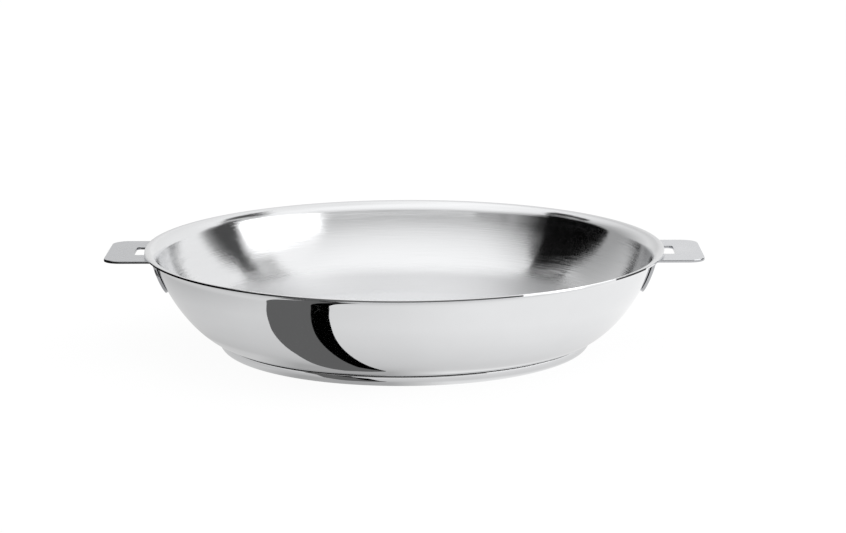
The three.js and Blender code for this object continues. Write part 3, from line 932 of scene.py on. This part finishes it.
def hair_scratches_group():
    inputs = [("Place", "Vector", None), ("Width", "Float", 0.004)]
    group, given, result = new_group("hair_scratches", inputs, ["Scratch"])
    marks = 0.0
    for turns in SCRATCH_TURNS:
        turned = add(group, "Mapping", Vector=given["Place"], Rotation=turns, Scale=SCRATCH_SCALE)
        noise = add(group, "TexNoise", Vector=turned.outputs[0], Scale=1.0, Detail=0.0)
        off = maths(group, "ABSOLUTE", maths(group, "SUBTRACT", noise.outputs[0], 0.5))
        line = maths(group, "SUBTRACT", 1.0, maths(group, "DIVIDE", off, given["Width"]))
        marks = maths(group, "MAXIMUM", marks, maths(group, "MAXIMUM", line, 0.0))
    where = add(group, "TexNoise", Vector=given["Place"], Scale=60.0, Detail=1.0)
    kept = add(group, "MapRange", Value=where.outputs[0], From_Min=0.5, From_Max=0.62)
    group.links.new(maths(group, "MULTIPLY", marks, kept.outputs[0]), result["Scratch"])
    return group


haze, hair_scratches = haze_group(), hair_scratches_group()
print("groups:", ", ".join(group.name for group in bpy.data.node_groups))

# %% [markdown]
# A metal needs few numbers: a colour, how rough it is, and which way its fine lines stretch a highlight.
# The fixed ones are set straight on the shader. Only what changes over the surface is linked.

# %% Start a metal
QUARTER_TURN = 0.25


def metal(name, colour, **fixed):
    material, tree, output = empty_material(name)
    shader = add(tree, "BsdfPrincipled", Base_Color=(*colour, 1), Metallic=1.0, **fixed)
    tree.links.new(shader.outputs[0], output.inputs["Surface"])
    place = add(tree, "TexCoord").outputs["Object"]
    return material, tree, shader.inputs, place


def stretch_round(tree, shader):
    """Lines that run round Z spread a highlight up and down, across themselves."""
    tangent = add(tree, "Tangent")
    tangent.direction_type, tangent.axis = "RADIAL", "Z"
    tree.links.new(tangent.outputs[0], shader["Tangent"])
    shader["Anisotropic Rotation"].default_value = QUARTER_TURN


def shade_by(tree, share, shader, dark, light):
    tree.links.new(blend(tree, share, (*dark, 1), (*light, 1)), shader["Base Color"])


def roughen(tree, shader, value):
    tree.links.new(value, shader["Roughness"])


def raise_lines(tree, shader, height, distance):
    bump = add(tree, "Bump", Strength=1.0, Distance=distance, Height=height)
    tree.links.new(bump.outputs[0], shader["Normal"])


print("words:", ", ".join(word.__name__ for word in (metal, stretch_round, shade_by, roughen, raise_lines)))

# %% [markdown]
# The outside is polished like a mirror. It keeps only a breath of haze and a few hair scratches, and the
# faintest trace of the wheel, so that the dark band stays sharp.

# %% Mirror polish for the outside and the cap's side
def mirror_polish():
    material, tree, shader, place = metal("mirror_polish", (0.80, 0.805, 0.815))
    cloud = place_group(tree, haze, Place=place, Patches=22.0)["Haze"]
    scratch = place_group(tree, hair_scratches, Place=place)["Scratch"]
    turned = place_group(tree, turned_lines, Place=place, Lines=1500.0, Turns=5.0)
    shade_by(tree, cloud, shader, (0.79, 0.795, 0.805), (0.815, 0.82, 0.83))
    roughen(tree, shader, weigh(tree, scratch, 0.12, weigh(tree, cloud, 0.03, 0.025)))
    raise_lines(tree, shader, turned["Streaks"], 1.5e-6)
    return material


outside_mirror = mirror_polish()
print("outside:", outside_mirror.name)

# %% [markdown]
# The inside has two zones. The wheel leaves the wall and the lip bright but full of fine arcs, each tipped a
# little up or down, so that what the wall mirrors is combed out up and down. The floor, up to a line round
# its corner, is a duller satin that food lets go of more easily. One material does both, masked by radius.

# %% Turned polish for the inside
FLOOR_COLOUR, FLOOR_SATIN, RAGGED = (0.1135, 0.1205), (0.1160, 0.1230), 0.005


def turned_polish():
    material, tree, shader, place = metal("turned_polish", (0.83, 0.835, 0.845), Anisotropic=0.8)
    turned = place_group(tree, turned_lines, Place=place, Lines=2600.0, Turns=3.0)
    cloud = place_group(tree, haze, Place=place, Patches=18.0)["Haze"]
    on_floor = add(tree, "MapRange", Value=turned["Radius"], From_Min=FLOOR_COLOUR[1],
                   From_Max=FLOOR_COLOUR[0]).outputs[0]
    ragged = weigh(tree, turned["Fine"], RAGGED, turned["Radius"])
    satin = add(tree, "MapRange", Value=ragged, From_Min=FLOOR_SATIN[1], From_Max=FLOOR_SATIN[0]).outputs[0]
    wall_tone = blend(tree, turned["Streaks"], (0.81, 0.815, 0.825, 1), (0.86, 0.865, 0.875, 1))
    floor_tone = blend(tree, turned["Streaks"], (0.80, 0.805, 0.815, 1), (0.85, 0.855, 0.865, 1))
    tree.links.new(blend(tree, on_floor, wall_tone, floor_tone), shader["Base Color"])
    polished = weigh(tree, turned["Streaks"], 0.05, weigh(tree, cloud, 0.02, 0.085))
    roughen(tree, shader, weigh(tree, satin, 0.36, polished))
    raise_lines(tree, shader, weigh(tree, turned["Streaks"], 0.8, turned["Fine"]), 3.0e-5)
    stretch_round(tree, shader)
    return material


inside_turned = turned_polish()
print("inside:", inside_turned.name)

# %% [markdown]
# The body is one sheet with two finishes. A face is inside when it looks up and doesn't look outwards. That
# leaves the lip's edge, and all that is under it, to the mirror polish.

# %% Give the body its two finishes
FACES_UP, FACES_OUT = 0.1, 0.05


def finish_body():
    pan_body.data.materials.append(outside_mirror)
    pan_body.data.materials.append(inside_turned)
    inside = 0
    for face in pan_body.data.polygons:
        outward = Vector((face.center.x, face.center.y, 0)).normalized()
        if face.normal.z > FACES_UP and face.normal.dot(outward) < FACES_OUT:
            face.material_index = 1
            inside += 1
    print("inside faces:", inside, "of", len(pan_body.data.polygons))


finish_body()

# %% [markdown]
# The underside of the cap is turned flat on a lathe so that it sits on a hob. That leaves clear rings, and
# sliding about leaves a duller, scratched face.

# %% Turned rings under the cap
FACES_DOWN = -0.9


def turned_rings():
    material, tree, shader, place = metal("turned_rings", (0.78, 0.785, 0.795), Anisotropic=0.6)
    turned = place_group(tree, turned_lines, Place=place, Lines=1100.0, Turns=1.5)
    scratch = place_group(tree, hair_scratches, Place=place, Width=0.008)["Scratch"]
    cloud = place_group(tree, haze, Place=place, Patches=30.0)["Haze"]
    shade_by(tree, turned["Streaks"], shader, (0.70, 0.705, 0.715), (0.80, 0.805, 0.815))
    dull = weigh(tree, cloud, 0.10, weigh(tree, turned["Fine"], 0.08, 0.20))
    roughen(tree, shader, weigh(tree, scratch, 0.2, dull))
    raise_lines(tree, shader, maths(tree, "SUBTRACT", turned["Streaks"], scratch), 2.0e-5)
    stretch_round(tree, shader)
    return material


base_cap.data.materials.append(outside_mirror)
base_cap.data.materials.append(turned_rings())
for face in base_cap.data.polygons:
    face.material_index = 1 if face.normal.z < FACES_DOWN else 0
print("cap underside faces:", sum(face.material_index for face in base_cap.data.polygons))

# %% [markdown]
# The tabs are cut from sheet with a fine satin grain that runs out from the pan. Where the handle's jaws
# grip, close to the window, the grain is rubbed a little brighter.

# %% Satin for the tabs
JAW_RADIUS, JAW_REACH, RUBBED_FROM, RUBBED_FULLY = 0.153, 0.4, 0.009, 0.003


def tab_satin():
    material, tree, shader, place = metal("tab_satin", (0.72, 0.73, 0.75))
    at = add(tree, "SeparateXYZ", Vector=place).outputs
    grain = drawn_out(tree, at, 90.0, 2600.0, 2600.0)
    cloud = place_group(tree, haze, Place=place, Patches=70.0)["Haze"]
    scratch = place_group(tree, hair_scratches, Place=place, Width=0.006)["Scratch"]
    outward = maths(tree, "SUBTRACT", maths(tree, "ABSOLUTE", at["X"]), JAW_RADIUS)
    sideways = maths(tree, "MULTIPLY", maths(tree, "ABSOLUTE", at["Y"]), JAW_REACH)
    far = maths(tree, "ADD", maths(tree, "ABSOLUTE", outward), sideways)
    rubbed = add(tree, "MapRange", Value=far, From_Min=RUBBED_FROM, From_Max=RUBBED_FULLY).outputs[0]
    shade_by(tree, grain, shader, (0.668, 0.678, 0.698), (0.697, 0.707, 0.727))
    satin = weigh(tree, cloud, 0.05, weigh(tree, grain, 0.05, 0.235))
    satin = weigh(tree, rubbed, -0.04, satin)
    roughen(tree, shader, weigh(tree, scratch, 0.1, satin))
    raise_lines(tree, shader, grain, 4.0e-6)
    return material


satin = tab_satin()
print("tabs:", satin.name)

# %% [markdown]
# The press leaves a different face where it sheared the sheet: burnished by the die, with fine lines that run
# through the thickness. Its darker tone is partly that face's own and partly painted shade for the dark lines
# along the tabs' edges.

# %% Sheared edges for the tabs
def sheared_edge_and_shade():
    # The darker greys here are partly painted shade for the dark lines along the tab edges.
    material, tree, shader, place = metal("sheared_edge_and_shade", (0.46, 0.465, 0.48))
    at = add(tree, "SeparateXYZ", Vector=place).outputs
    lines = drawn_out(tree, at, 2200.0, 2200.0, 120.0)
    cloud = place_group(tree, haze, Place=place, Patches=90.0)["Haze"]
    shade_by(tree, lines, shader, (0.42, 0.425, 0.44), (0.50, 0.505, 0.52))
    roughen(tree, shader, weigh(tree, cloud, 0.05, weigh(tree, lines, 0.06, 0.08)))
    raise_lines(tree, shader, lines, 3.0e-6)
    return material


sheared = sheared_edge_and_shade()
for piece in (right_tab, left_tab):
    piece.data.materials.append(satin)
    piece.data.materials.append(sheared)
print("their edges:", sheared.name)

# %% [markdown]
# A spot weld melts the steel for a moment. Its dish stays dull grey, with a ring of straw and blue where
# the heat coloured the surface. Each weld carries the distance from its own middle, for the ring to follow.

# %% Heat-tinted weld metal
def weld_metal():
    material, tree, shader, place = metal("weld_metal", (0.52, 0.51, 0.50))
    ring = add(tree, "Attribute")
    ring.attribute_name = "from_middle"
    cloud = place_group(tree, haze, Place=place, Patches=500.0)["Haze"]
    uneven = weigh(tree, cloud, 0.12, ring.outputs["Fac"])
    tint = ramp(tree, uneven, (0.0, (0.50, 0.50, 0.50)), (0.55, (0.55, 0.53, 0.50)),
                (0.78, (0.58, 0.51, 0.40)), (0.95, (0.40, 0.42, 0.50)), (1.0, (0.52, 0.51, 0.51)))
    tree.links.new(tint, shader["Base Color"])
    roughen(tree, shader, weigh(tree, cloud, 0.18, 0.36))
    raise_lines(tree, shader, cloud, 2.5e-5)
    return material


welded = weld_metal()
for weld in (*right_welds.values(), *left_welds.values()):
    weld.data.materials.append(welded)
print("welds:", welded.name)

# %% [markdown]
# Three pieces stay as the CAD made them, because the cap hides them: the aluminium disc, with the straight
# lines of the rolling mill, and the two brazed layers, grainy where the filler metal ran and set.

# %% Rolled aluminium and brazing metal
def rolled_aluminium():
    material, tree, shader, place = metal("rolled_aluminium", (0.72, 0.73, 0.74))
    at = add(tree, "SeparateXYZ", Vector=place).outputs
    mill = drawn_out(tree, at, 25.0, 1500.0, 1500.0)
    cloud = place_group(tree, haze, Place=place, Patches=35.0)["Haze"]
    shade_by(tree, mill, shader, (0.68, 0.69, 0.70), (0.76, 0.77, 0.78))
    roughen(tree, shader, weigh(tree, mill, 0.12, weigh(tree, cloud, 0.1, 0.3)))
    raise_lines(tree, shader, mill, 8.0e-6)
    return material


def brazing_metal():
    material, tree, shader, place = metal("brazing_metal", (0.60, 0.60, 0.59))
    grains = add(tree, "TexVoronoi", Vector=place, Scale=900.0)
    cloud = place_group(tree, haze, Place=place, Patches=60.0)["Haze"]
    shade_by(tree, grains.outputs["Distance"], shader, (0.55, 0.55, 0.54), (0.66, 0.66, 0.65))
    roughen(tree, shader, weigh(tree, cloud, 0.2, 0.45))
    raise_lines(tree, shader, grains.outputs["Distance"], 3.0e-5)
    return material


hidden = {"heat_spreader_disc": rolled_aluminium()}
hidden["upper_braze_layer"] = hidden["lower_braze_layer"] = brazing_metal()
for name, material in hidden.items():
    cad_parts[name].data.materials.clear()
    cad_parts[name].data.materials.append(material)
print("hidden nodes:", ", ".join(hidden))

# %% [markdown]
# ## Hand over
# Every new piece takes the place of its CAD node and moves with the pan's one body. Each is listed with
# the material slot it stands for.

# %% Ride and replace
stand_ins = [(pan_body, "pan_body", "body_steel"), (base_cap, "base_cap", "cap_steel"),
             (right_tab, "right_handle_tab", "tab_steel"), (left_tab, "left_handle_tab", "tab_steel")]
stand_ins += [(weld, f"right_weld_{place}", "weld_steel") for place, weld in right_welds.items()]
stand_ins += [(weld, f"left_weld_{place}", "weld_steel") for place, weld in left_welds.items()]
for piece, node, slot in stand_ins:
    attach(piece, "root")
    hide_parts(node)
print("pieces handed over:", len(stand_ins))
